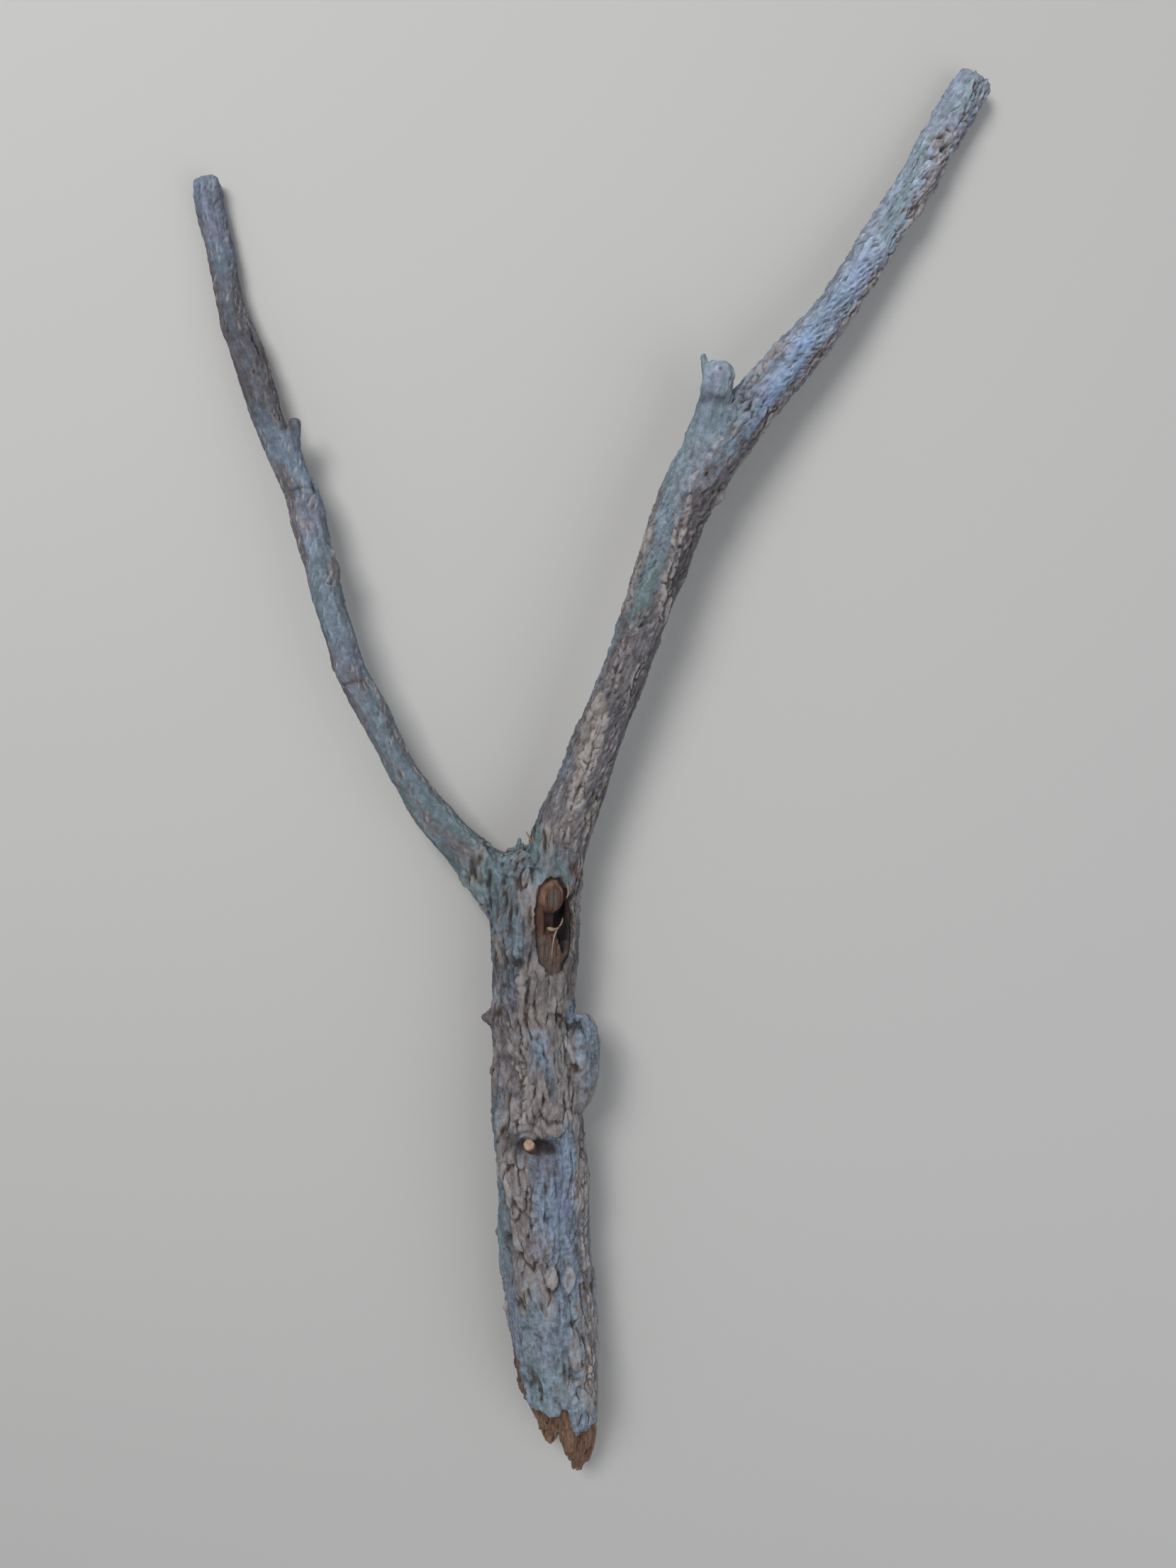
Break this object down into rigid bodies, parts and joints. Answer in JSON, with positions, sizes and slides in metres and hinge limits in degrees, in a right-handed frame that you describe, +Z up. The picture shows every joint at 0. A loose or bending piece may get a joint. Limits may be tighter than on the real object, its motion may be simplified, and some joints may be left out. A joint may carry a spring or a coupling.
{
  "type": "fallen tree branch",
  "caption": "Forked fallen tree branch, lying down: thick corky stem torn to splinters at the foot, slimmer lichened limbs spreading from its fork, and a snapped side spur.",
  "frame": {"origin": "middle of the footprint, on the ground that the branch lies on", "axes": "+Y along the stem from its torn foot towards the limbs' tips, +X from the left limb's side to the right limb's, +Z up from the ground"},
  "size_m": [0.3484, 0.6564, 0.0469],
  "materials": {
    "corky_bark": "rough corky bark with a dry, dull lichen film",
    "thin_bark": "thin rough bark under a pale grey-green lichen film",
    "bare_wood": "dry, dull, fibrous broken wood"
  },
  "bodies": {
    "root": {"main_stem": "corky_bark", "left_limb": "thin_bark", "right_limb": "corky_bark", "right_limb_upper": "corky_bark", "broken_spur": "thin_bark"}
  },
  "joints": []
}
